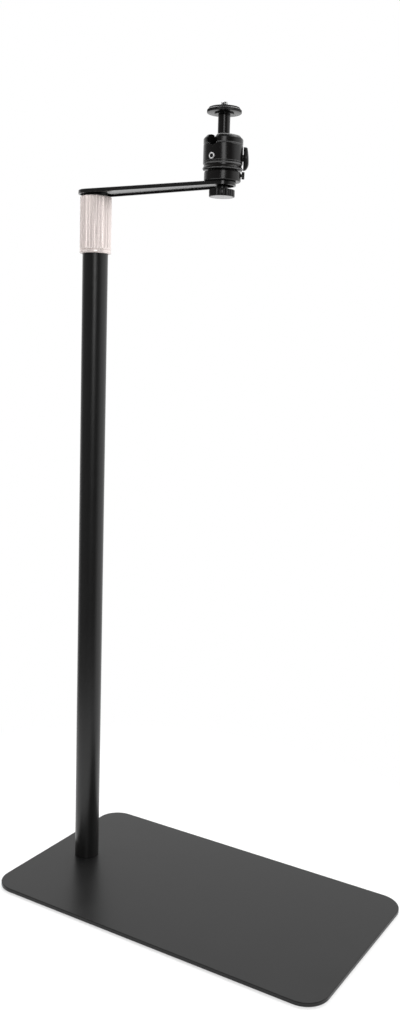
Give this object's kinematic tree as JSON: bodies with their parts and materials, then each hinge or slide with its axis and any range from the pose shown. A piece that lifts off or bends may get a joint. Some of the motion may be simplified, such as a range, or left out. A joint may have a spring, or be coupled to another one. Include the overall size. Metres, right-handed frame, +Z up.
{
  "type": "portable projector stand",
  "caption": "Low projector stand: steel foot plate, telescoping pole with fluted lock collar, flat swivel arm and small ball head with a threaded mounting screw.",
  "frame": {"origin": "on the floor under the middle of the foot plate, almost straight under the ball head", "axes": "+X along the plate's long side from the pole to the free end, +Y across the plate, +Z up"},
  "size_m": [0.36, 0.204, 0.7577],
  "materials": {
    "plate_paint": "matte dark grey powder coat",
    "pole_paint": "satin black paint",
    "arm_paint": "satin black paint",
    "collar_metal": "pale rose anodised",
    "head_metal": "satin black anodised",
    "lever_plastic": "satin black",
    "plug_plastic": "matte black",
    "steel": "bright machined",
    "rubber": "matte black"
  },
  "bodies": {
    "stand": {"base_plate": "plate_paint", "foot_pad_front_left": "rubber", "foot_pad_front_right": "rubber", "foot_pad_back_left": "rubber", "foot_pad_back_right": "rubber", "base_bolt": "steel", "pole_foot_plug": "plug_plastic", "pole_tube": "pole_paint"},
    "collar": {"lock_collar": "collar_metal"},
    "riser": {"riser_tube": "pole_paint", "riser_top_plug": "plug_plastic"},
    "arm": {"arm_bar": "arm_paint", "arm_bolt": "steel", "head_base": "head_metal", "pan_lock_screw": "lever_plastic"},
    "thumb_screw": {"thumb_knob": "head_metal", "thumb_knob_face": "steel", "thumb_stud": "steel"},
    "head": {"head_body": "head_metal", "head_cap": "head_metal", "friction_screw": "steel"},
    "lever": {"lever_stem": "steel", "lock_lever": "lever_plastic"},
    "ball": {"ball_stem": "head_metal"},
    "platform": {"platform_disc": "head_metal", "platform_pad": "rubber", "camera_screw": "steel"}
  },
  "joints": [
    {"name": "collar_twist", "type": "hinge", "parent": "stand", "child": "collar", "pos_m": [-0.1394, 0, 0.656], "axis": [0, 0, 1], "range_deg": [0, 180]},
    {"name": "height_slide", "type": "slide", "parent": "stand", "child": "riser", "axis": [0, 0, 1], "range_m": [0, 0.35]},
    {"name": "arm_swivel", "type": "hinge", "parent": "riser", "child": "arm", "pos_m": [-0.1394, 0, 0.6879], "axis": [0, 0, 1], "continuous": true},
    {"name": "thumb_screw_turn", "type": "hinge", "parent": "arm", "child": "thumb_screw", "pos_m": [0.0026, 0, 0.6863], "axis": [0, 0, 1], "continuous": true},
    {"name": "head_pan", "type": "hinge", "parent": "arm", "child": "head", "pos_m": [0.0026, 0, 0.6985], "axis": [0, 0, 1], "continuous": true},
    {"name": "lever_turn", "type": "hinge", "parent": "head", "child": "lever", "pos_m": [0.0026, 0, 0.7102], "axis": [0.866, 0.5, 0], "range_deg": [0, 180]},
    {"name": "ball_tilt", "type": "hinge", "parent": "head", "child": "ball", "pos_m": [0.0026, 0, 0.7242], "axis": [0.9976, -0.0698, 0], "range_deg": [-20, 90]},
    {"name": "platform_spin", "type": "hinge", "parent": "ball", "child": "platform", "pos_m": [0.0026, 0, 0.747], "axis": [0, 0, 1], "continuous": true}
  ]
}
